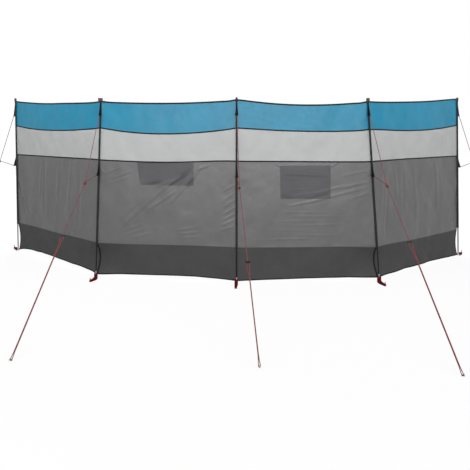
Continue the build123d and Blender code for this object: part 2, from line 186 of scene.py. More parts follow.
SEAM_SHARES = (0.0, 0.05, 0.15, 0.3, 0.45, 0.6, 0.75, 0.88, 0.95, 1.0)
SEAMS = {
    "top": (
        (1.520, 1.512, 1.503, 1.491, 1.485, 1.484, 1.482, 1.482, 1.485, 1.492),
        (1.492, 1.484, 1.478, 1.473, 1.471, 1.472, 1.477, 1.484, 1.489, 1.499),
        (1.499, 1.493, 1.480, 1.465, 1.457, 1.456, 1.461, 1.470, 1.475, 1.486),
        (1.486, 1.485, 1.485, 1.489, 1.495, 1.503, 1.515, 1.528, 1.534, 1.538),
    ),
    "pale": (
        (1.264, 1.256, 1.243, 1.231, 1.227, 1.229, 1.236, 1.246, 1.253, 1.259),
        (1.259, 1.250, 1.232, 1.216, 1.210, 1.213, 1.224, 1.240, 1.251, 1.261),
        (1.261, 1.258, 1.251, 1.241, 1.235, 1.232, 1.232, 1.236, 1.240, 1.247),
        (1.247, 1.247, 1.242, 1.234, 1.231, 1.233, 1.242, 1.255, 1.265, 1.273),
    ),
    "wall": (
        (0.969, 0.970, 0.972, 0.975, 0.977, 0.980, 0.983, 0.986, 0.987, 0.986),
        (0.986, 0.983, 0.979, 0.974, 0.972, 0.975, 0.982, 0.988, 0.989, 0.988),
        (0.988, 0.987, 0.986, 0.984, 0.982, 0.980, 0.978, 0.977, 0.977, 0.978),
        (0.978, 0.979, 0.979, 0.979, 0.977, 0.974, 0.972, 0.970, 0.969, 0.968),
    ),
    "skirt": (
        (0.276, 0.277, 0.278, 0.276, 0.274, 0.273, 0.275, 0.276, 0.275, 0.275),
        (0.275, 0.274, 0.272, 0.273, 0.276, 0.278, 0.279, 0.279, 0.278, 0.277),
        (0.277, 0.275, 0.273, 0.271, 0.269, 0.268, 0.267, 0.261, 0.257, 0.255),
        (0.255, 0.259, 0.258, 0.254, 0.249, 0.247, 0.247, 0.248, 0.249, 0.248),
    ),
    "hem": (
        (0.010, 0.027, 0.042, 0.047, 0.046, 0.042, 0.034, 0.024, 0.016, 0.005),
        (0.005, 0.007, 0.014, 0.020, 0.023, 0.025, 0.023, 0.015, 0.009, 0.004),
        (0.004, 0.005, 0.007, 0.010, 0.012, 0.013, 0.012, 0.008, 0.006, 0.005),
        (0.005, 0.006, 0.009, 0.015, 0.017, 0.016, 0.012, 0.008, 0.006, 0.005),
    ),
}
SEAM_LEVELS = (0.270, 0.980, 1.240, 1.485)  # mean heights of the sewn seams
SKIRT_TOP = SEAM_LEVELS[0]


def seam_height(seam, bay, share):
    """Height of a seam at shares across a bay, as a smooth line through its places."""
    at, values = np.array(SEAM_SHARES), np.array(SEAMS[seam][bay])
    slopes = np.gradient(values, at)
    share = np.asarray(share, dtype=float)
    cell = np.clip(np.searchsorted(at, share, side="right") - 1, 0, len(at) - 2)
    width = at[cell + 1] - at[cell]
    t = np.clip((share - at[cell]) / width, 0.0, 1.0)
    return (
        values[cell] * (1 + 2 * t) * (1 - t) ** 2
        + values[cell + 1] * t**2 * (3 - 2 * t)
        + width * (slopes[cell] * t * (1 - t) ** 2 - slopes[cell + 1] * t**2 * (1 - t))
    )


# Folds of each bay's cloth: start, end, half width and height of each ridge, in the bay's plane

FOLDS = (
    (
        (-0.022, 0.743, 0.150, 0.395, 0.016, 0.0100),
        (-0.044, 0.700, 0.120, 0.370, 0.018, -0.0060),
        (0.376, 0.961, 0.352, 0.560, 0.020, 0.0042),
        (0.426, 0.964, 0.430, 0.452, 0.018, -0.0042),
        (0.637, 0.964, 0.625, 0.531, 0.026, 0.0042),
        (0.819, 0.963, 0.790, 0.493, 0.024, 0.0042),
        (0.958, 0.960, 0.950, 0.351, 0.030, -0.0050),
        (1.080, 0.990, 1.150, 0.895, 0.010, 0.0050),
        (1.115, 1.000, 1.185, 0.905, 0.010, -0.0042),
        (0.180, 0.480, 0.420, 0.300, 0.030, 0.0034),
        (0.560, 0.420, 0.900, 0.330, 0.030, 0.0034),
    ),
    (
        (0.199, 0.400, 0.656, 0.809, 0.016, 0.0030),
        (0.640, 0.790, 0.850, 0.912, 0.013, 0.0034),
        (0.445, 0.560, 0.700, 0.742, 0.014, 0.0026),
        (0.640, 0.620, 0.780, 0.790, 0.014, 0.0026),
        (0.780, 0.760, 0.905, 0.945, 0.015, 0.0036),
        (0.204, 0.454, 0.427, 0.654, 0.014, -0.0018),
        (0.360, 0.560, 0.560, 0.740, 0.013, 0.0022),
        (0.504, 0.753, 0.667, 0.831, 0.012, 0.0026),
        (0.625, 0.745, 0.845, 0.910, 0.011, -0.0030),
        (0.060, 0.865, 0.260, 0.943, 0.012, 0.0024),
        (0.126, 0.822, 0.316, 0.898, 0.012, 0.0024),
        (0.090, 0.780, 0.300, 0.850, 0.014, 0.0014),
        (1.075, 0.730, 1.200, 0.806, 0.010, 0.0016),
        (1.085, 0.660, 1.200, 0.742, 0.010, 0.0019),
        (1.085, 0.600, 1.200, 0.686, 0.009, 0.0020),
        (1.085, 0.545, 1.200, 0.620, 0.009, 0.0020),
        (1.085, 0.500, 1.200, 0.566, 0.009, 0.0020),
        (1.070, 0.455, 1.200, 0.516, 0.010, 0.0017),
        (1.040, 0.410, 1.200, 0.456, 0.010, 0.0014),
        (0.250, 0.352, 0.430, 0.414, 0.010, 0.0013),
        (0.230, 0.382, 0.400, 0.452, 0.010, 0.0013),
        (0.330, 0.330, 0.480, 0.380, 0.010, 0.0016),
        (0.690, 0.402, 0.880, 0.444, 0.009, 0.0012),
        (0.700, 0.372, 0.900, 0.398, 0.009, 0.0012),
        (0.720, 0.340, 0.940, 0.362, 0.010, 0.0010),
        (0.860, 0.910, 0.990, 0.962, 0.013, 0.0024),
        (0.010, 0.930, 0.090, 0.860, 0.012, 0.0016),
    ),
    (
        (0.628, 0.718, 1.117, 0.809, 0.014, 0.0025),
        (0.585, 0.640, 1.117, 0.768, 0.014, 0.0018),
        (0.779, 0.738, 0.975, 0.789, 0.010, -0.0018),
        (0.392, 0.684, 0.800, 0.738, 0.012, 0.0018),
        (0.420, 0.612, 0.700, 0.664, 0.012, 0.0016),
        (0.330, 0.566, 0.760, 0.556, 0.010, 0.0007),
        (0.420, 0.528, 0.980, 0.522, 0.009, 0.0007),
        (0.317, 0.490, 0.700, 0.486, 0.009, 0.0007),
        (0.520, 0.452, 0.964, 0.458, 0.010, 0.0008),
        (0.300, 0.415, 0.640, 0.411, 0.009, 0.0007),
        (0.480, 0.372, 0.909, 0.366, 0.009, 0.0008),
        (0.264, 0.338, 0.620, 0.343, 0.010, 0.0010),
        (0.307, 0.982, 0.371, 0.937, 0.009, 0.0030),
        (0.779, 0.934, 0.866, 0.978, 0.009, 0.0030),
        (0.480, 0.908, 0.800, 0.880, 0.009, 0.0016),
        (0.392, 0.850, 0.740, 0.852, 0.008, 0.0010),
        (0.420, 0.800, 0.800, 0.812, 0.008, 0.0010),
        (0.400, 0.745, 0.680, 0.757, 0.009, 0.0010),
        (0.880, 0.860, 1.120, 0.905, 0.014, 0.0012),
        (0.930, 0.660, 1.130, 0.722, 0.012, 0.0012),
    ),
    (
        (0.086, 0.965, 0.056, 0.535, 0.022, 0.0058),
        (0.158, 0.780, 0.116, 0.286, 0.020, -0.0050),
        (0.267, 0.963, 0.274, 0.619, 0.024, 0.0042),
        (1.235, 0.815, 1.170, 0.458, 0.016, 0.0090),
        (1.208, 0.663, 1.120, 0.301, 0.018, -0.0060),
        (0.872, 0.958, 0.893, 0.446, 0.028, 0.0042),
        (0.540, 0.960, 0.560, 0.400, 0.034, 0.0042),
        (0.380, 0.930, 0.360, 0.500, 0.026, -0.0034),
    ),
)
WAVES = (  # length across, length up, turn, height of the slow waves that every bay has
    (0.61, 1.90, 0.4, 0.0030),
    (0.37, 0.83, 1.9, 0.0018),
    (0.19, 0.47, 4.1, 0.0010),
)
CRUMPLES = (  # cell across, cell up, height of the uneven creases in the sewn rows
    (0.120, 0.150, 0.0022),
    (0.055, 0.065, 0.0010),
    (0.026, 0.030, 0.0003),
)
BAND_CALM = 0.5  # share of the creases that the taut top bands lose
BAY_SLACK = (1.0, 0.5, 0.5, 1.0)  # share of the waves and creases that each bay has
FOLD_EDGE = 0.014  # folds die out over this distance from a pole
SEAM_HOLD = 0.014  # and in part over this distance from a sewn seam
SEAM_HOLD_SHARE = 0.55


def uneven(x, y, cell_x, cell_y, seed):
    """Smooth uneven heights of about one, from a lattice of chance values."""
    chance = np.random.default_rng(seed).normal(size=(64, 64))
    column, row = x / cell_x + 20.0, y / cell_y + 20.0
    left, low = np.floor(column).astype(int), np.floor(row).astype(int)
    across, up = column - left, row - low
    across, up = (share * share * (3.0 - 2.0 * share) for share in (across, up))
    lower, upper = (
        chance[level % 64, left % 64] * (1 - across) + chance[level % 64, (left + 1) % 64] * across
        for level in (low, low + 1)
    )
    return lower * (1 - up) + upper * up


def ridge(x, y, start_x, start_y, end_x, end_y, width):
    """Distance from a ridge's line in half widths, and how much of the ridge is there along its length."""
    run_x, run_y = end_x - start_x, end_y - start_y
    length = math.hypot(run_x, run_y)
    share = ((x - start_x) * run_x + (y - start_y) * run_y) / length**2
    off = ((x - start_x) * run_y - (y - start_y) * run_x) / length / width
    return off, np.clip(4.0 * share * (1.0 - share), 0.0, 1.0) ** 0.7


def fold_heights(bay, x, y, room):
    """How far the cloth stands out of its plane at x, y. room is the distance to the nearer pole."""
    rise = np.zeros_like(x)
    for *line, width, height in FOLDS[bay]:
        off, fade = ridge(x, y, *line, width)
        rise += height * fade * (1.0 - 0.9 * off**2) * np.exp(-(off**2))
    for number, (across, high, turn, height) in enumerate(WAVES):
        lean = 0.5 * math.sin(bay * 2.3 + number)
        slow = np.sin(2 * math.pi * (x / across + lean * y / high) + turn + 1.7 * bay)
        rise += BAY_SLACK[bay] * height * slow * np.cos(2 * math.pi * y / high + 0.9 * bay)
    calm = BAY_SLACK[bay] * (1.0 - BAND_CALM * np.clip((y - SEAM_LEVELS[2]) / 0.05 + 0.5, 0.0, 1.0))
    for number, (cell_x, cell_y, height) in enumerate(CRUMPLES):
        rise += height * calm * uneven(x, y, cell_x, cell_y, 10 * bay + number)
    hold = np.ones_like(x)
    for level in SEAM_LEVELS:
        hold -= SEAM_HOLD_SHARE * np.exp(-(((y - level) / SEAM_HOLD) ** 2))
    return rise * hold * (1.0 - np.exp(-((room / FOLD_EDGE) ** 2)))


def cloth_points(bay, share, height):
    """Points of a bay's cloth at shares across it and heights, and how far across its plane they lie."""
    left_pole, right_pole = bay, bay + 1
    low = np.clip(height / SKIRT_TOP, 0.0, 1.0)
    bow = 4.0 * low * (1.0 - low)
    left = HANG * math.tan(half_folds[left_pole]) + edge_slope(bay, left_pole) * height
    right = bay_lengths[bay] - HANG * math.tan(half_folds[right_pole]) + edge_slope(bay, right_pole) * height
    if bay == 0:
        left = left + EDGE_HOLLOW * bow
    if bay == 3:
        right = right - EDGE_HOLLOW * bow
    x = left + (right - left) * share
    room = np.minimum(x - left, right - x)
    rise = fold_heights(bay, x, height, room)
    points = (
        feet[bay]
        + along[bay] * x[..., None]
        + upslope[bay] * height[..., None]
        + outward[bay] * (rise - HANG)[..., None]
    )
    for pole, far in ((left_pole, share), (right_pole, 1.0 - share)):
        if pole in SKIRT_PULLS:
            pull = SKIRT_PULLS[pole] * bow * np.clip(1.0 - far / SKIRT_PULL_REACH, 0.0, 1.0) ** 1.6
            points = points - pole_out[pole] * pull[..., None]
    return points, x


# Meshes

SHARP_ANGLE = math.radians(40.0)


def make_piece(name, points, faces, uvs, finish, slot=None, painted_fold_lights=None):
    """A new piece that rides on the root, in its finish's slot. slot is not used."""
    mesh = bpy.data.meshes.new(name)
    mesh.from_pydata(np.asarray(points).tolist(), [], faces)
    corners = np.empty(len(mesh.loops), dtype=np.int32)
    mesh.loops.foreach_get("vertex_index", corners)
    layer = mesh.uv_layers.new(name="UVMap")
    layer.data.foreach_set("uv", np.asarray(uvs)[corners].astype(np.float32).ravel())
    # The optional point values are painted highlights and painted shade along a window film's folds.
    if painted_fold_lights is not None:
        mesh.attributes.new("painted_fold_light", "FLOAT", "POINT").data.foreach_set("value", painted_fold_lights.astype(np.float32))
    mesh.shade_smooth()
    mesh.set_sharp_from_angle(angle=SHARP_ANGLE)
    mesh.materials.append(finish.material)
    piece = bpy.data.objects.new(name, mesh)
    bpy.context.scene.collection.objects.link(piece)
    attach(piece, "root")
    return piece


def grid_ways(grid):
    """Unit normals of a grid of points whose columns run right and whose rows run up, seen from outside."""
    right = np.gradient(grid, axis=1)
    up = np.gradient(grid, axis=0)
    ways = np.cross(right, up)
    return ways / np.linalg.norm(ways, axis=-1, keepdims=True)


def sheet_parts(grid, uv, thickness, cut=None):
    """A closed sheet of that thickness about a grid of points, without the cells that are cut out."""
    rows, columns = grid.shape[:2]
    count = rows * columns
    half = grid_ways(grid) * (np.broadcast_to(thickness, (rows, columns))[..., None] / 2)
    points = np.concatenate(((grid + half).reshape(-1, 3), (grid - half).reshape(-1, 3)))
    corner = np.arange(rows - 1)[:, None] * columns + np.arange(columns - 1)[None, :]
    if cut is not None:
        corner = corner[~cut]
    corner = corner.ravel()
    front = np.stack((corner, corner + 1, corner + 1 + columns, corner + columns), axis=1)
    back = front[:, ::-1] + count
    starts = front.ravel()
    ends = np.roll(front, -1, axis=1).ravel()
    rim = ~np.isin(starts * count + ends, ends * count + starts)
    starts, ends = starts[rim], ends[rim]
    sides = np.stack((ends, starts, starts + count, ends + count), axis=1)
    faces = np.concatenate((front, back, sides))
    used, inverse = np.unique(faces, return_inverse=True)
    faces = inverse.reshape(faces.shape)
    uvs = np.concatenate((uv.reshape(-1, 2), uv.reshape(-1, 2)))
    return points[used], faces.tolist(), uvs[used]


def swept_parts(centres, sides, outs, section):
    """A closed band swept along centres: each point of the section is so far along sides and outs there."""
    centres, sides, outs = np.asarray(centres), np.asarray(sides), np.asarray(outs)
    section = np.asarray(section, dtype=float)
    if section.ndim == 2:
        section = np.broadcast_to(section, (len(centres),) + section.shape)
    ring = section[0]
    turn = np.roll(ring, -1, axis=0)
    area = (ring[:, 0] * turn[:, 1] - turn[:, 0] * ring[:, 1]).sum()
    facing = np.cross(sides[0], outs[0]).dot(centres[1] - centres[0])
    if area * facing < 0:
        section = section[:, ::-1]
    points = centres[:, None] + sides[:, None] * section[..., :1] + outs[:, None] * section[..., 1:]
    rings, ring_size = section.shape[:2]
    around = np.arange(ring_size)
    after = (around + 1) % ring_size
    low = np.arange(rings - 1)[:, None] * ring_size
    high = low + ring_size
    quads = np.stack((low + around, low + after, high + after, high + around), axis=-1)
    faces = quads.reshape(-1, 4).tolist()
    faces.append(around[::-1].tolist())
    faces.append((around + (rings - 1) * ring_size).tolist())
    run = np.concatenate(([0.0], np.cumsum(np.linalg.norm(np.diff(centres, axis=0), axis=1))))
    girth = np.concatenate(([0.0], np.cumsum(np.linalg.norm(np.diff(section[0], axis=0), axis=1))))
    uvs = np.stack(np.broadcast_arrays(run[:, None], girth[None, :]), axis=-1).reshape(-1, 2)
    return points.reshape(-1, 3), faces, uvs


def joined(parts):
    """Several meshes' points, faces and UVs as one."""
    points, faces, uvs, start = [], [], [], 0
    for part_points, part_faces, part_uvs in parts:
        points.append(part_points)
        uvs.append(part_uvs)
        faces.extend([[corner + start for corner in face] for face in part_faces])
        start += len(part_points)
    return np.concatenate(points), faces, np.concatenate(uvs)


def path_frames(path, first_side):
    """Side and out ways along a path, turned as little as possible from one point to the next."""
    path = np.asarray(path)
    ways = np.gradient(path, axis=0)
    ways /= np.linalg.norm(ways, axis=1, keepdims=True)
    sides, outs = [], []
    side = np.asarray(first_side, dtype=float)
    for way in ways:
        side = unit(side - way * side.dot(way))
        sides.append(side)
        outs.append(np.cross(way, side))
    return np.array(sides), np.array(outs)


def even_path(corners, step):
    """Points about a step apart along a path through the corners."""
    corners = np.asarray(corners)
    lengths = np.linalg.norm(np.diff(corners, axis=0), axis=1)
    run = np.concatenate(([0.0], np.cumsum(lengths)))
    count = max(2, int(run[-1] / step) + 1)
    at = np.linspace(0.0, run[-1], count)
    return np.stack([np.interp(at, run, corners[:, axis]) for axis in range(3)], axis=1)


def rope_parts(path):
    """A laid rope along a path: its round section swells where each of two strands comes out."""
    path = even_path(path, ROPE_STEP)
    first = np.cross(path[1] - path[0], UP)
    sides, outs = path_frames(path, first if np.linalg.norm(first) > 1e-6 else np.array([1.0, 0.0, 0.0]))
    run = np.concatenate(([0.0], np.cumsum(np.linalg.norm(np.diff(path, axis=0), axis=1))))
    angles = np.linspace(0.0, 2 * math.pi, ROPE_SIDES, endpoint=False)
    swell = 1.0 + ROPE_SWELL * np.cos(2.0 * (angles[None, :] - 2 * math.pi * run[:, None] / ROPE_TWIST))
    section = ROPE_RADIUS * np.stack((swell * np.cos(angles), swell * np.sin(angles)), axis=-1)
    return swept_parts(path, sides, outs, section)


def coil_parts(start, way, coil_radius, length):
    """Turns of rope wound about a line from start, as in a tied knot."""
    side = unit(np.cross(way, UP + 0.3 * np.array([1.0, 0.0, 0.0])))
    out = np.cross(way, side)
    angles = np.linspace(0.0, 2 * math.pi * KNOT_TURNS, int(14 * KNOT_TURNS) + 1)
    path = (
        start
        + way * (length * angles / angles[-1])[:, None]
        + coil_radius * (side * np.cos(angles)[:, None] + out * np.sin(angles)[:, None])
    )
    return rope_parts(path)


# Materials

def colour(red, green, blue):
    """A colour given as sRGB from 0 to 255, as the linear values that a shader takes."""
    parts = [value / 255.0 for value in (red, green, blue)]
    linear = [p / 12.92 if p <= 0.04045 else ((p + 0.055) / 1.055) ** 2.4 for p in parts]
    return (*linear, 1.0)


def shade(tint, share):
    return tuple(min(1.0, value * share) for value in tint[:3]) + (1.0,)


class Nodes:
    """Short ways to add and join the nodes of a tree."""

    def __init__(self, tree):
        self.tree = tree

    def add(self, kind, **settings):
        node = self.tree.nodes.new(kind)
        for key, value in settings.items():
            if key in node.inputs:
                node.inputs[key].default_value = value
            else:
                setattr(node, key, value)
        return node

    def feed(self, socket, value):
        """Joins a node's output to a socket, or sets the socket to a plain value."""
        if isinstance(value, bpy.types.NodeSocket):
            self.tree.links.new(value, socket)
        else:
            socket.default_value = value

    def noise(self, scale, detail=4.0, roughness=0.55):
        place = self.add("ShaderNodeTexCoord")
        texture = self.add("ShaderNodeTexNoise", Scale=scale, Detail=detail, Roughness=roughness)
        self.feed(texture.inputs["Vector"], place.outputs["Object"])
        return texture.outputs["Fac"]

    def wave(self, pitch, direction):
        place = self.add("ShaderNodeTexCoord")
        texture = self.add("ShaderNodeTexWave", bands_direction=direction, Scale=2 * math.pi / (20.0 * pitch))
        self.feed(texture.inputs["Vector"], place.outputs["UV"])
        return texture.outputs["Fac"]

    def spread(self, value, low, high, to_low=0.0, to_high=1.0):
        node = self.add("ShaderNodeMapRange")
        keys = ("Value", "From Min", "From Max", "To Min", "To Max")
        for key, setting in zip(keys, (value, low, high, to_low, to_high)):
            self.feed(node.inputs[key], setting)
        return node.outputs["Result"]

    def sums(self, operation, first, second=0.0):
        node = self.add("ShaderNodeMath", operation=operation)
        self.feed(node.inputs[0], first)
        self.feed(node.inputs[1], second)
        return node.outputs[0]

    def blend(self, factor, first, second):
        node = self.add("ShaderNodeMix", data_type="RGBA")
        self.feed(node.inputs["Factor"], factor)
        self.feed(node.inputs[6], first)
        self.feed(node.inputs[7], second)
        return node.outputs[2]


class Finish(Nodes):
    """A material with its shader, under the name of its slot."""

    def __init__(self, name):
        self.name = name
        self.material = bpy.data.materials.new(name)
        self.material.use_nodes = True
        super().__init__(self.material.node_tree)
        self.shader = self.tree.nodes["Principled BSDF"]

    def give(self, key, value):
        self.feed(self.shader.inputs[key], value)

    def bump(self, height, strength, distance):
        node = self.add("ShaderNodeBump", Strength=strength, Distance=distance)
        self.feed(node.inputs["Height"], height)
        self.give("Normal", node.outputs["Normal"])


WEAVE_DEPTH = 0.00006
STITCH_LENGTH = 0.0034


def woven(name, tint, roughness=0.62, mottle=0.06, pitch=0.0011, specular=0.5):
    """Coated plain-weave cloth: threads both ways, slightly uneven in colour and gloss."""
    finish = Finish(name)
    patches = finish.spread(finish.noise(7.0, 5.0), 0.34, 0.66)
    base = finish.blend(patches, shade(tint, 1.0 - mottle), shade(tint, 1.0 + mottle))
    threads = finish.sums("MULTIPLY", finish.wave(pitch, "X"), finish.wave(pitch, "Y"))
    crossings = finish.spread(threads, 0.0, 0.5, 0.0, 0.10)
    finish.give("Base Color", finish.blend(crossings, base, shade(tint, 0.72)))
    gloss = finish.spread(finish.noise(31.0, 3.0), 0.3, 0.7, roughness - 0.05, roughness + 0.05)
    finish.give("Roughness", gloss)
    finish.give("Specular IOR Level", specular)
    crumple = finish.sums("MULTIPLY", finish.noise(42.0, 4.0, 0.6), 3.0)
    finish.bump(finish.sums("ADD", threads, crumple), 0.35, WEAVE_DEPTH)
    return finish


def bound(name, tint, stitch_tint):
    """Binding tape: ribbed across, with a row of stitches along its middle."""
    finish = Finish(name)
    patches = finish.spread(finish.noise(24.0, 4.0), 0.35, 0.65)
    base = finish.blend(patches, shade(tint, 0.9), shade(tint, 1.12))
    place = finish.add("ShaderNodeTexCoord")
    parts = finish.add("ShaderNodeSeparateXYZ")
    finish.feed(parts.inputs[0], place.outputs["UV"])
    beat = finish.sums("FRACT", finish.sums("MULTIPLY", parts.outputs[0], 1 / STITCH_LENGTH))
    dash = finish.sums("GREATER_THAN", beat, 0.32)
    row = finish.sums("LESS_THAN", finish.sums("ABSOLUTE", parts.outputs[1]), 0.06)
    stitches = finish.sums("MULTIPLY", dash, row)
    finish.give("Base Color", finish.blend(stitches, base, stitch_tint))
    finish.give("Roughness", 0.72)
    finish.give("Specular IOR Level", 0.12)
    ribs = finish.sums("MULTIPLY", finish.wave(0.0012, "X"), 0.5)
    finish.bump(finish.sums("ADD", ribs, stitches), 0.4, 0.0002)
    return finish


def webbing(name, tint):
    """Flat woven webbing with slanting ribs."""
    finish = Finish(name)
    ribs = finish.wave(0.0016, "DIAGONAL")
    patches = finish.spread(finish.noise(60.0, 3.0), 0.35, 0.65)
    base = finish.blend(patches, shade(tint, 0.82), shade(tint, 1.15))
    lines = finish.spread(ribs, 0.0, 1.0, 0.0, 0.35)
    finish.give("Base Color", finish.blend(lines, base, shade(tint, 0.55)))
    finish.give("Roughness", 0.7)
    finish.give("Specular IOR Level", 0.12)
    finish.bump(ribs, 0.5, 0.0003)
    return finish


def smoked(name, tint, painted_shade_tint, painted_highlight_tint):
    """Smoked film over its closed curtain, with painted highlights and painted shade along its folds, as its
    point attribute says.
    """
    finish = Finish(name)
    painted_fold_light = finish.add("ShaderNodeAttribute", attribute_name="painted_fold_light").outputs["Fac"]
    patches = finish.spread(finish.noise(9.0, 4.0), 0.35, 0.65)
    base = finish.blend(patches, shade(tint, 0.95), shade(tint, 1.05))
    # Painted highlight towards the lighter tint where the attribute is above 0, painted shade towards the
    # darker tint where it is below.
    base = finish.blend(finish.spread(painted_fold_light, 0.0, 1.0), base, painted_highlight_tint)
    base = finish.blend(finish.spread(painted_fold_light, 0.0, -1.0), base, painted_shade_tint)
    finish.give("Base Color", base)
    finish.give("Roughness", 0.5)
    finish.give("Specular IOR Level", 0.15)
    finish.bump(finish.noise(60.0, 3.0), 0.2, 0.0002)
    return finish


def laid_rope(name, tint, fleck):
    """Guy rope: a tight lay with paler flecks in it, and painted shade in the grooves of the lay."""
    finish = Finish(name)
    lay = finish.wave(0.0024, "DIAGONAL")
    # Painted shade: darker where the lay's bump is low, in the grooves between the strands.
    base = finish.blend(finish.spread(lay, 0.2, 0.9), shade(tint, 0.62), shade(tint, 1.1))
    flecks = finish.spread(finish.noise(320.0, 2.0), 0.58, 0.66)
    finish.give("Base Color", finish.blend(flecks, base, fleck))
    finish.give("Roughness", 0.6)
    finish.give("Specular IOR Level", 0.15)
    finish.bump(lay, 0.5, 0.0003)
    return finish


def coated(name, tint, roughness, wear=0.1, metallic=0.0):
    """Painted, plated or moulded pieces: an even coat with faint scuffs."""
    finish = Finish(name)
    scuffs = finish.spread(finish.noise(40.0, 6.0, 0.65), 0.40, 0.68)
    finish.give("Base Color", finish.blend(scuffs, shade(tint, 1.0 - wear), shade(tint, 1.0 + wear)))
    gloss = finish.spread(finish.noise(100.0, 3.0), 0.3, 0.7, roughness - 0.06, roughness + 0.08)
    finish.give("Roughness", gloss)
    finish.give("Metallic", metallic)
    finish.give("Specular IOR Level", 0.15)
    finish.bump(finish.noise(360.0, 2.0), 0.12, 0.0002)
    return finish


BLUE = colour(25, 124, 155)
PALE = colour(172, 174, 173)
GREY = colour(93, 93, 94)
SKIRT = colour(68, 67, 67)
SLEEVE = colour(40, 41, 42)
TAB = colour(20, 21, 23)
TAPE = colour(30, 33, 35)
FILM = colour(86, 86, 89)

blue_cloth = woven("blue_cloth", BLUE, roughness=0.38, specular=0.32)
pale_cloth = woven("pale_cloth", PALE, roughness=0.38, specular=0.24, mottle=0.03)
grey_cloth = woven("grey_cloth", GREY, roughness=0.38, specular=0.37, mottle=0.04)
skirt_cloth = woven("skirt_cloth", SKIRT, roughness=0.6, specular=0.15)
sleeve_cloth = woven("sleeve_cloth", SLEEVE, roughness=0.7, mottle=0.08, pitch=0.0009, specular=0.12)
curtain_cloth = woven("curtain_cloth", colour(84, 84, 86))
# The film's darker and lighter tints are its painted shade and painted highlight along the folds.
window_film = smoked("window_film", FILM, shade(FILM, 0.55), GREY)
hem_tape = bound("hem_tape", TAPE, shade(TAPE, 0.6))
tab_cloth = woven("tab_cloth", TAB, roughness=0.75, mottle=0.1, pitch=0.0009, specular=0.1)
strap_webbing = webbing("strap_webbing", colour(102, 9, 17))
loop_webbing = webbing("loop_webbing", colour(92, 78, 76))
guy_rope = laid_rope("guy_rope", colour(132, 64, 69), colour(160, 108, 112))
pole_black = coated("pole_black", colour(14, 14, 15), 0.55, wear=0.25)
foot_steel = coated("foot_steel", colour(176, 178, 180), 0.36, metallic=0.7)
peg_steel = coated("peg_steel", colour(22, 20, 20), 0.5)
guy_peg_steel = coated("guy_peg_steel", colour(176, 174, 174), 0.4, metallic=0.4)
cap_plastic = coated("cap_plastic", colour(34, 34, 36), 0.5)
bridle_red = coated("bridle_red", colour(118, 34, 40), 0.45)
tension_black = coated("tension_black", colour(26, 20, 20), 0.45)

CAD_FINISHES = {
    "pole_feet": foot_steel,
    "pole_caps": cap_plastic,
    "bridle_runners": bridle_red,
    "tension_runners": tension_black,
    "guy_pegs": guy_peg_steel,
    "foot_pegs": peg_steel,
}
CAD_FINISHES.update({f"pole_{pole + 1}": pole_black for pole in POLES})
for node, finish in CAD_FINISHES.items():
    nodes[node].data.materials.clear()
    nodes[node].data.materials.append(finish.material)


# Cloth rows of the bays

PAINTED_FILM_LIGHT_BANDS = (  # painted highlight (lighter) and painted shade (darker) bands along each film's folds: start, end, half width and painted light strength
    (
        (0.440, 0.730, 0.760, 0.866, 0.016, 1.0),
        (0.690, 0.713, 0.930, 1.005, 0.017, 1.0),
        (0.590, 0.742, 0.830, 0.926, 0.012, -0.9),
        (0.760, 0.758, 0.870, 0.866, 0.016, -0.7),
        (0.430, 0.784, 0.585, 0.812, 0.014, -0.8),
        (0.366, 0.764, 0.415, 0.838, 0.014, 0.9),
    ),
    (
        (0.380, 0.898, 0.800, 0.874, 0.008, 0.7),
        (0.380, 0.846, 0.800, 0.838, 0.007, 0.5),
        (0.380, 0.797, 0.800, 0.793, 0.007, 0.4),
        (0.380, 0.872, 0.800, 0.852, 0.009, -0.5),
        (0.580, 0.690, 0.800, 0.752, 0.010, 0.7),
        (0.560, 0.672, 0.790, 0.720, 0.012, -0.7),
        (0.360, 0.700, 0.480, 0.690, 0.016, -0.5),
        (0.340, 0.934, 0.820, 0.936, 0.018, 0.5),
    ),
)


def stepped(levels, step):
    """Evenly spaced values through each level in turn."""
    spans = []
    for low, high in zip(levels, levels[1:]):
        spans.append(np.linspace(low, high, max(1, round((high - low) / step)) + 1)[:-1])
    return np.concatenate(spans + [levels[-1:]])


def share_at(bay, x, height):
    """Share across a bay of a place in its plane."""
    left = HANG * math.tan(half_folds[bay]) + edge_slope(bay, bay) * height
    right = bay_lengths[bay] - HANG * math.tan(half_folds[bay + 1]) + edge_slope(bay, bay + 1) * height
    return (x - left) / (right - left)


def window_edges(number):
    """Shares of a window's left and right edges at its sill and at its head."""
    bay = WINDOW_BAYS[number]
    return [
        (share_at(bay, WINDOW_LEFTS[number][end], level), share_at(bay, WINDOW_RIGHTS[number], level))
        for end, level in enumerate(WINDOW_LEVELS[number])
    ]


def bay_columns(bay):
    """Shares across a bay for the columns of its cloth, with columns on the window's edges."""
    marks = [0.0, 1.0]
    if bay in WINDOW_BAYS:
        marks = [0.0, *window_edges(WINDOW_BAYS.index(bay))[0], 1.0]
    return stepped(marks, COLUMN_STEP / bay_lengths[bay])


def row_heights(levels):
    """Heights for the rows of a cloth between levels, each an array along its columns."""
    rows = []
    for low, high in zip(levels, levels[1:]):
        count = max(2, round(float(np.mean(high - low)) / ROW_STEP))
        rows += [low + (high - low) * step / count for step in range(count)]
    return np.array(rows + [levels[-1]])


def cloth_grid(bay, share, heights, lift=0.0):
    """Grid of cloth points with their UV in metres. lift moves it out of the cloth's plane."""
    share = np.broadcast_to(share, heights.shape)
    points, x = cloth_points(bay, share, heights)
    return points + outward[bay] * lift, np.stack((x, heights), axis=-1)


def painted_film_fold_light(number, x, y):
    """Painted light along a film's folds, from -1 for the darkest painted shade to 1 for a painted highlight
    as light as the wall.
    """
    painted_fold_light = np.zeros_like(x)
    for *line, width, strength in PAINTED_FILM_LIGHT_BANDS[number]:
        off, fade = ridge(x, y, *line, width)
        painted_fold_light += strength * fade * np.exp(-(off**2))
    return np.clip(painted_fold_light, -1.0, 1.0)


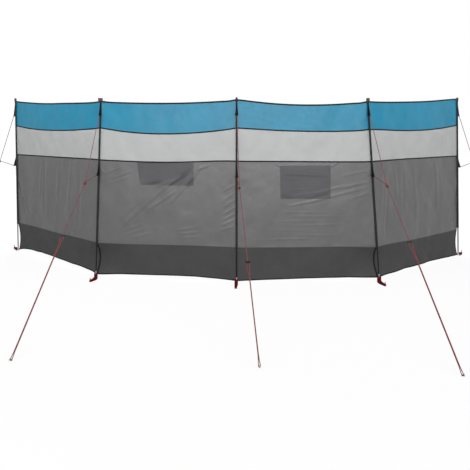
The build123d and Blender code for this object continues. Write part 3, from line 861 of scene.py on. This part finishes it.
def window_pieces(number, share, heights, inside):
    """Film and curtain of a window, the film cut to the cells that are inside it."""
    bay = WINDOW_BAYS[number]
    rows = np.flatnonzero(inside.any(axis=1))
    columns = np.flatnonzero(inside.any(axis=0))
    pane = np.s_[rows[0] : rows[-1] + 2, columns[0] : columns[-1] + 2]
    grid, uv = cloth_grid(bay, share[pane], heights[pane], -FILM_BACK)
    parts = sheet_parts(grid, uv, FILM_SHEET)
    # Painted highlights and painted shade along the film's folds, carried on its points.
    painted_fold_lights = painted_film_fold_light(number, *parts[2].T)
    film = make_piece(f"window_film_{number + 1}", *parts, window_film, painted_fold_lights=painted_fold_lights)
    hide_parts("window_films")
    sill, head = WINDOW_LEVELS[number]
    lap = CURTAIN_LAP / bay_lengths[bay]
    curtain_share = np.linspace(share[pane].min() - lap, share[pane].max() + lap, 44)
    flat = np.ones_like(curtain_share)
    curtain_heights = row_heights([(sill - CURTAIN_LAP) * flat, head * flat])
    grid, uv = cloth_grid(bay, curtain_share, curtain_heights, -CURTAIN_BACK)
    curtain = make_piece(f"window_curtain_{number + 1}", *sheet_parts(grid, uv, CLOTH), curtain_cloth)
    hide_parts("window_curtains")


def window_cut(number, columns, levels):
    """Heights and shares of a wall with lines on its window's edges, and the cells inside the window."""
    sill, head = WINDOW_LEVELS[number]
    (left_low, right_low), (left_high, right_high) = window_edges(number)
    flat = np.ones_like(columns)
    heights = row_heights([levels[0], sill * flat, head * flat, levels[1]])
    share = np.empty_like(heights)
    for row, height in enumerate(heights.mean(axis=1)):
        rise = min(max((height - sill) / (head - sill), 0.0), 1.0)
        left = left_low + (left_high - left_low) * rise
        right = right_low + (right_high - right_low) * rise
        share[row] = np.interp(columns, (0.0, left_low, right_low, 1.0), (0.0, left, right, 1.0))
    cells_up = (heights[:-1, 0] + heights[1:, 0]) / 2
    cells_across = (columns[:-1] + columns[1:]) / 2
    inside_up = (cells_up > sill) & (cells_up < head)
    inside_across = (cells_across > left_low) & (cells_across < right_low)
    return heights, share, inside_up[:, None] & inside_across[None, :]


ROWS = (  # name of the row, seams below and above it, and its cloth
    ("skirt", "hem", "skirt", skirt_cloth),
    ("wall", "skirt", "wall", grey_cloth),
    ("pale_band", "wall", "pale", pale_cloth),
    ("top_band", "pale", "top", blue_cloth),
)

for bay in BAYS:
    columns = bay_columns(bay)
    for row, low_seam, high_seam, finish in ROWS:
        name = f"{row}_{bay + 1}"
        levels = [seam_height(seam, bay, columns) for seam in (low_seam, high_seam)]
        if row == "wall" and bay in WINDOW_BAYS:
            heights, share, inside = window_cut(WINDOW_BAYS.index(bay), columns, levels)
        else:
            heights, share, inside = row_heights(levels), columns, None
        grid, uv = cloth_grid(bay, share, heights)
        piece = make_piece(f"{name}_cloth", *sheet_parts(grid, uv, CLOTH, inside), finish)
        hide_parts(name)
        if inside is not None:
            window_pieces(WINDOW_BAYS.index(bay), share, heights, inside)


# Bindings: seam tapes, top hem, lower hem, skirt edges

def seam_band(name, bay, seam, below, above, proud, finish):
    """A band sewn over a seam, from below to above its line, proud of the cloth on both faces."""
    share = bay_columns(bay)
    line = seam_height(seam, bay, share)
    lip = 0.12 * (below + above)
    offsets = np.array([-below, -below + lip, 0.0, above - lip, above])
    grid, _ = cloth_grid(bay, share, line[None, :] + offsets[:, None])
    run = share * bay_lengths[bay]
    across = np.linspace(-1.0, 1.0, len(offsets))
    uv = np.stack(np.broadcast_arrays(run[None, :], across[:, None]), axis=-1)
    thickness = (CLOTH + 2 * proud) * np.array([0.75, 1.0, 1.05, 1.0, 0.75])[:, None]
    return make_piece(name, *sheet_parts(grid, uv, thickness), finish)


def edge_band(name, bay, start):
    """A binding along a skirt's hollow edge at an end pole, from a share across the bay."""
    share = start + np.linspace(0.0, EDGE_BINDING / bay_lengths[bay], 4)
    low = seam_height("hem", bay, share)
    high = seam_height("skirt", bay, share)
    heights = low[None, :] + (high - low)[None, :] * np.linspace(0.0, 1.0, 30)[:, None]
    grid, _ = cloth_grid(bay, share, heights)
    uv = np.stack(np.broadcast_arrays(heights, np.linspace(-1.0, 1.0, 4)[None, :]), axis=-1)
    return make_piece(name, *sheet_parts(grid, uv, CLOTH + 2 * TAPE_PROUD), hem_tape)


def skirt_piping(pole):
    """Piping along the seam that joins two skirts behind a pole."""
    low, high = SEAMS["hem"][pole][0], SEAMS["skirt"][pole][0]
    heights = low + (high - low) * np.linspace(0.0, 1.0, 32)
    left, _ = cloth_points(pole - 1, np.full_like(heights, 1.0), heights)
    right, _ = cloth_points(pole, np.zeros_like(heights), heights)
    path = (left + right) / 2 + pole_out[pole] * PIPING_PROUD
    angles = np.linspace(0.0, 2 * math.pi, 10, endpoint=False)
    sides, outs = path_frames(path, np.cross(UP, pole_out[pole]))
    section = PIPING_RADII[pole] * np.stack((np.cos(angles), 0.6 * np.sin(angles)), axis=1)
    return make_piece(f"skirt_piping_{pole + 1}", *swept_parts(path, sides, outs, section), hem_tape)


BANDS = (  # name, row that carries it, seam, reach below and above the seam, how proud it is and its cloth
    ("top_hem", "top_band", "top", 0.0125, 0.0008, 0.0011, hem_tape),
    ("pale_tape", "pale_band", "pale", TAPE_WIDTH / 2, TAPE_WIDTH / 2, TAPE_PROUD, hem_tape),
    ("wall_tape", "wall", "wall", TAPE_WIDTH / 2, TAPE_WIDTH / 2, TAPE_PROUD, hem_tape),
    ("skirt_seam", "skirt", "skirt", 0.004, 0.004, 0.0005, skirt_cloth),
    ("lower_hem", "skirt", "hem", 0.0004, 0.0095, 0.0008, hem_tape),
)
trims = {bay: {row: [] for row, *_ in ROWS} for bay in BAYS}
for bay in BAYS:
    for name, row, *layout in BANDS:
        band = seam_band(f"{name}_{bay + 1}", bay, *layout)
        if name == "top_hem":
            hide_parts("top_hems")
        trims[bay][row].append(band)
trims[0]["skirt"].append(edge_band("skirt_edge_left", 0, 0.0))
trims[3]["skirt"].append(edge_band("skirt_edge_right", 3, 1.0 - EDGE_BINDING / bay_lengths[3]))
for pole in PIPING_RADII:
    trims[pole]["skirt"].append(skirt_piping(pole))


# Sleeves, and the webbing at the pole tops

def pole_frame(pole):
    """Ways out of the cloth and along it, square to a pole."""
    out = unit(pole_out[pole] - axes[pole] * pole_out[pole].dot(axes[pole]))
    return out, np.cross(axes[pole], out)


def sleeve_section(wide):
    """Outline of a sleeve across its pole: a round tunnel whose edges run back to the bays' seam."""
    angles = np.radians(np.linspace(-82.0, 262.0, 25))
    narrow = max(SLEEVE_BORE, wide - SLEEVE_CLOTH)
    back = -HANG - CLOTH / 2
    outer = [(wide * math.cos(a), SLEEVE_RADIUS * math.sin(a)) for a in angles]
    inner = [(narrow * math.cos(a), SLEEVE_BORE * math.sin(a)) for a in angles[::-1]]
    left_seam = [(-SLEEVE_SEAM, back), (-SLEEVE_SLIT, back)]
    return [(SLEEVE_SEAM, back)] + outer + left_seam + inner + [(SLEEVE_SLIT, back)]


def sleeve(pole):
    """The tunnel of cloth that a pole stands in, loosest beside the wall."""
    out, side = pole_frame(pole)
    runs = np.linspace(SLEEVE_FOOT, CLOTH_TOPS[pole] - SLEEVE_SHORT, SLEEVE_RINGS)
    centres = feet[pole] + axes[pole] * runs[:, None]
    slack = 1.0 + SLEEVE_SLACK * np.clip((SLEEVE_SLACK_TOP - runs) / SLEEVE_SLACK_RUN, 0.0, 1.0)
    swell = slack * (1.0 + 0.05 * np.sin(runs * 23.0 + pole) + 0.03 * np.sin(runs * 61.0 + 2 * pole))
    section = np.array([sleeve_section(SLEEVE_RADIUS * value) for value in swell])
    sides, outs = (np.tile(way, (SLEEVE_RINGS, 1)) for way in (side, out))
    parts = swept_parts(centres, sides, outs, section)
    piece = make_piece(f"sleeve_{pole + 1}_cloth", *parts, sleeve_cloth)
    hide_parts(f"sleeve_{pole + 1}")
    return piece


def pole_loop(pole):
    """The webbing loop over a pole's top, with a patch in front of it at two of the poles."""
    out, side = pole_frame(pole)
    half = LOOP_HALVES[pole]
    legs = np.linspace(-LOOP_LEG, 0.0, 6)[:-1]
    loop = [(half, leg) for leg in legs]
    loop += [(half * math.cos(a), LOOP_RISE * math.sin(a)) for a in np.linspace(0.0, math.pi, 15)]
    loop += [(-half, leg) for leg in legs[::-1]]
    spring = feet[pole] + axes[pole] * LOOP_SPRINGS[pole]
    path = np.array([spring + side * x + axes[pole] * y for x, y in loop])
    ways = np.gradient(path, axis=0)
    ways /= np.linalg.norm(ways, axis=1, keepdims=True)
    outs = np.tile(out, (len(path), 1))
    section = [(x * LOOP_WEB / 2, y * LOOP_WIDTH / 2) for x, y in ((-1, -1), (1, -1), (1, 1), (-1, 1))]
    parts = [swept_parts(path, np.cross(outs, ways), outs, section)]
    if pole in PATCH_HALVES:
        wide, high = PATCH_HALVES[pole]
        across, up = np.meshgrid(np.linspace(-wide, wide, 13), np.linspace(-high, high, 7))
        bulge = PATCH_PROUD - PATCH_CURVE * (across / wide) ** 2
        grid = spring + side * across[..., None] + out * bulge[..., None]
        grid += axes[pole] * (up - PATCH_DROP)[..., None]
        parts.append(sheet_parts(grid, np.stack((across, up), axis=-1), LOOP_WEB))
    piece = make_piece(f"pole_loop_{pole + 1}", *joined(parts), loop_webbing)
    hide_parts("pole_loops")
    return piece


def carrying_bay(pole):
    """The bay whose cloth a pole's trimmings are counted with."""
    return min(pole, 3)


for pole in POLES:
    trims[carrying_bay(pole)]["wall"].append(sleeve(pole))
    trims[carrying_bay(pole)]["top_band"].append(pole_loop(pole))


# Guys: tabs, and ropes with their turns

def tab_frame(pole):
    """Ways away from a pole towards its guy, and across that, square to the pole."""
    side = unit(np.cross(heading(GUY_BEARINGS[pole]), axes[pole]))
    return np.cross(axes[pole], side), side


def tab_parts(pole, top, foot, reach):
    """A triangular tab on the sleeve, doubled cloth that thickens towards the sleeve."""
    away, side = tab_frame(pole)
    up_share = np.linspace(0.0, 1.0, 14)[:, None]
    out_share = np.linspace(0.0, 1.0, 7)[None, :]
    high_edge = top - foot + (TAB_END - top + foot) * out_share**0.9
    y = foot + high_edge * up_share
    x = TAB_ROOT - TAB_LAP + (reach + TAB_LAP) * out_share * np.ones_like(up_share)
    flare = TAB_FLARE * np.sin(5.0 * up_share + pole) * out_share
    grid = feet[pole] + away * x[..., None] + axes[pole] * y[..., None] + side * flare[..., None]
    thickness = TAB_CLOTH + TAB_SWELL * (1.0 - 0.8 * out_share) * (1.0 - up_share)
    return sheet_parts(grid, np.stack((x, y), axis=-1), thickness)


def tab_eye(tip, way):
    """The corded eye at a tab's point that the rope is tied through."""
    return coil_parts(tip - way * EYE_BACK, way, EYE_RADIUS, EYE_LENGTH)


def guy_points(pole):
    """Where a guy goes round its peg, where its two legs meet, and where its doubled run starts."""
    way = heading(GUY_BEARINGS[pole])
    peg = feet[pole] + way * GUY_REACHES[pole] + UP * PEG_LOOP_HEIGHT
    bridle = feet[pole] + axes[pole] * BRIDLE_HEIGHTS[pole] + way * BRIDLE_REACHES[pole]
    return peg, bridle, bridle + (peg - bridle) * TENSION_SHARES[pole]


def line_parts(pole):
    """A guy's single line, its turns at the bridle runner, and the doubled rope round the peg."""
    peg, bridle, tension = guy_points(pole)
    way = unit(peg - bridle)
    across = unit(np.cross(way, UP))
    over = np.cross(across, way)
    single = [bridle + way * (RUNNER_PITCH + KNOT_START), tension - way * ROPE_STOP]
    reach = np.linalg.norm(peg - tension)
    half_pair = ROPE_RADIUS * PAIR_SPREAD
    turned = math.radians(PAIR_TURNS[pole])
    leg = [
        (-reach + ROPE_STOP, RUNNER_PITCH / 2, 0.0),
        (-reach + PAIR_RUN, half_pair, turned),
        (-2 * PAIR_END, half_pair, turned),
        (-PAIR_END, half_pair, 0.0),
        (-2 * PEG_LOOP_RADIUS, PEG_LOOP_RADIUS, 0.0),
    ]
    turn = np.linspace(math.pi / 2, -math.pi / 2, 15)
    bend = [(PEG_LOOP_RADIUS * math.cos(a), PEG_LOOP_RADIUS * math.sin(a), 0.0) for a in turn]
    pair = leg + bend + [(x, -y, angle) for x, y, angle in leg[::-1]]
    path = [peg + way * x + (across * math.cos(angle) + over * math.sin(angle)) * y for x, y, angle in pair]
    knot = coil_parts(bridle + way * KNOT_START, way, KNOT_RADIUS, KNOT_LENGTH)
    return [rope_parts(single), knot, rope_parts(path)]


for pole in POLES:
    _, bridle, _ = guy_points(pole)
    away, _ = tab_frame(pole)
    parts = []
    for name, tops, foot, reach in (UPPER_TAB, LOWER_TAB):
        tip = feet[pole] + away * (TAB_ROOT + reach) + axes[pole] * (foot + TAB_END / 2)
        way = unit(bridle - tip)
        shape = joined([tab_parts(pole, tops[pole], foot, reach), tab_eye(tip, way)])
        tab = make_piece(f"{name}_guy_tab_{pole + 1}", *shape, tab_cloth, "sleeve_cloth")
        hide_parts(f"{name}_guy_tabs")
        trims[carrying_bay(pole)]["top_band" if name == "upper" else "wall"].append(tab)
        parts.append(rope_parts([tip - way * ROPE_TUCK, bridle - way * ROPE_STOP]))
    rope = make_piece(f"guy_rope_{pole + 1}_laid", *joined(parts + line_parts(pole)), guy_rope)
    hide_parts(f"guy_rope_{pole + 1}")


# Foot straps: webbing on edge, from both sides of each ferrule out round the foot peg

def strap_lie(pole, forward, bend):
    """How a strap lies at a distance from its pole: how far to its side, how much wider, how much lower."""
    share = np.clip(forward / bend, 0.0, 1.0)
    aside = STRAP_KNEES[pole] * np.sin(math.pi * share**1.4)
    wider = 1.0 + STRAP_BULGE * np.sin(math.pi * share**0.7)
    return aside, wider, 1.0 - (1.0 - STRAP_END_SHARE) * share


def foot_strap(pole):
    """A strap's band on edge, and the layer of webbing that lies between its two sides."""
    way = heading(STRAP_BEARINGS[pole])
    side = np.cross(UP, way)
    lean = abs(axes[pole].dot(side)) / axes[pole][2]
    middle = FERRULE_RADIUS + STRAP_GAP + STRAP_WIDTH * lean + STRAP_CLOTH / 2
    bend = STRAP_REACHES[pole] - STRAP_CLOTH / 2 - middle
    legs = np.linspace(-STRAP_ROOTS[pole], bend, 16)[:-1]
    aside, wider, lower = strap_lie(pole, legs, bend)
    turn = np.linspace(math.pi / 2, -math.pi / 2, 13)
    plan = list(zip(legs, aside + wider * middle, lower))
    plan += [(bend + middle * math.cos(a), middle * math.sin(a), STRAP_END_SHARE) for a in turn]
    plan += list(zip(legs, aside - wider * middle, lower))[::-1]
    up = np.linspace(STRAP_LIFT, STRAP_WIDTH, 7)
    grid = np.array([[feet[pole] + way * x + side * y + UP * z * low for x, y, low in plan] for z in up])
    run = np.concatenate(([0.0], np.cumsum(np.linalg.norm(np.diff(np.array(plan), axis=0), axis=1))))
    uv = np.stack(np.broadcast_arrays(run[None, :], up[:, None]), axis=-1)
    lengths, widths = np.linspace(FERRULE_RADIUS + INNER_START, bend, 14), np.linspace(middle, -middle, 5)
    forward, across = np.meshgrid(lengths, widths, indexing="ij")
    aside, wider, lower = strap_lie(pole, forward, bend)
    across = aside + across * wider
    height = (INNER_HEIGHT - INNER_DIP * np.sin(forward / bend * 5.0) ** 2) * lower
    inner = feet[pole] + way * forward[..., None] + side * across[..., None] + UP * height[..., None]
    inner_uv = np.stack((forward, across), axis=-1)
    layers = [sheet_parts(grid, uv, STRAP_CLOTH), sheet_parts(inner, inner_uv, STRAP_CLOTH)]
    piece = make_piece(f"foot_strap_{pole + 1}", *joined(layers), strap_webbing)
    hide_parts("foot_straps")
    return piece


for pole in POLES:
    trims[carrying_bay(pole)]["skirt"].append(foot_strap(pole))


# Floor, light and camera

FLOOR_SIZE = 60.0
FLOOR_REACH = (2.0, 7.0)  # distances between which the shown floor goes from the first to the second strength
FLOOR_STRENGTHS = (0.88, 0.98)
FLOOR_SHADOW = (0.14, 0.14, 0.14, 1.0)
FLOOR_GREY = (0.20, 0.20, 0.20, 1.0)
STUDIO_LEVEL = 0.10  # of the light from all round
WHITE = (1.0, 1.0, 1.0, 1.0)
SOFTBOXES = (  # name, place, where it points, width, height and watts
    ("front_softbox", (0.3, -6.2, 1.5), (0.1, 0.0, 1.2), 7.8, 2.9, 388.0),
    ("back_softbox", (0.0, 6.8, 1.5), (0.0, 0.4, 1.2), 9.5, 2.9, 370.0),
    ("top_softbox_left", (-2.45, -0.8, 3.1), (-1.7, 0.4, 1.1), 2.2, 0.8, 50.0),
    ("top_softbox_right", (2.45, -0.7, 3.1), (1.7, 0.4, 1.1), 2.2, 0.8, 40.0),
    ("top_softbox_back", (0.0, 2.9, 3.4), (0.0, 0.3, 0.9), 4.5, 0.8, 80.0),
)


def ray_share(tree):
    """1 for rays that show the background: seen, mirrored or passed through."""
    path = tree.add("ShaderNodeLightPath")
    seen = tree.sums("MAXIMUM", path.outputs["Is Camera Ray"], path.outputs["Is Glossy Ray"])
    return tree.sums("MAXIMUM", seen, path.outputs["Is Transmission Ray"])


def white_floor():
    """White with a faint shadow to the rays that show the background, and a plain grey to the rest."""
    finish = Finish("floor_white")
    finish.give("Base Color", FLOOR_GREY)
    finish.give("Roughness", 0.9)
    finish.give("Specular IOR Level", 0.0)
    place = finish.add("ShaderNodeTexCoord")
    distance = finish.add("ShaderNodeVectorMath", operation="LENGTH")
    finish.feed(distance.inputs[0], place.outputs["Object"])
    strength = finish.spread(distance.outputs["Value"], *FLOOR_REACH, *FLOOR_STRENGTHS)
    backing = finish.add("ShaderNodeEmission", Color=WHITE)
    finish.feed(backing.inputs["Strength"], strength)
    faint = finish.add("ShaderNodeBsdfDiffuse", Color=FLOOR_SHADOW)
    shown = finish.add("ShaderNodeAddShader")
    finish.feed(shown.inputs[0], backing.outputs[0])
    finish.feed(shown.inputs[1], faint.outputs[0])
    either = finish.add("ShaderNodeMixShader")
    finish.feed(either.inputs[0], ray_share(finish))
    finish.feed(either.inputs[1], finish.shader.outputs[0])
    finish.feed(either.inputs[2], shown.outputs[0])
    finish.feed(finish.tree.nodes["Material Output"].inputs["Surface"], either.outputs[0])
    return finish


bpy.ops.mesh.primitive_plane_add(size=FLOOR_SIZE, location=(0.0, 0.0, 0.0))
floor = bpy.context.object
floor.name = "floor"
floor.data.materials.append(white_floor().material)

world = bpy.data.worlds.new("studio")
bpy.context.scene.world = world
world.use_nodes = True
studio = Nodes(world.node_tree)
background = studio.tree.nodes["Background"]
studio.feed(background.inputs["Color"], WHITE)
studio.feed(background.inputs["Strength"], studio.spread(ray_share(studio), 0.0, 1.0, STUDIO_LEVEL, 1.0))

for name, place, target, width, height, power in SOFTBOXES:
    lamp = bpy.data.lights.new(name, "AREA")
    lamp.shape = "RECTANGLE"
    lamp.size = width
    lamp.size_y = height
    lamp.energy = power
    box = bpy.data.objects.new(name, lamp)
    box.location = place
    box.rotation_euler = (Vector(target) - Vector(place)).to_track_quat("-Z", "Y").to_euler()
    box.visible_camera = False
    bpy.context.scene.collection.objects.link(box)

CAMERA_PLACE = (-0.2589, -3.6882, 1.3416)
SENSOR_WIDTH = 36.0
PICTURE_SIDE = 470
FOCAL_PIXELS = 450
CENTRE_PIXEL = 205.0
HORIZON_PIXEL = 118.198
camera_data = bpy.data.cameras.new("camera")
camera_data.sensor_width = SENSOR_WIDTH
camera_data.lens = SENSOR_WIDTH * FOCAL_PIXELS / PICTURE_SIDE
camera_data.shift_x = (PICTURE_SIDE / 2 - CENTRE_PIXEL) / PICTURE_SIDE
camera_data.shift_y = (HORIZON_PIXEL - PICTURE_SIDE / 2) / PICTURE_SIDE
camera = bpy.data.objects.new("camera", camera_data)
camera.location = CAMERA_PLACE
camera.rotation_euler = (math.pi / 2, 0.0, 0.0)
bpy.context.scene.collection.objects.link(camera)
bpy.context.scene.camera = camera
bpy.context.scene.view_settings.view_transform = "Standard"

bpy.context.view_layer.update()
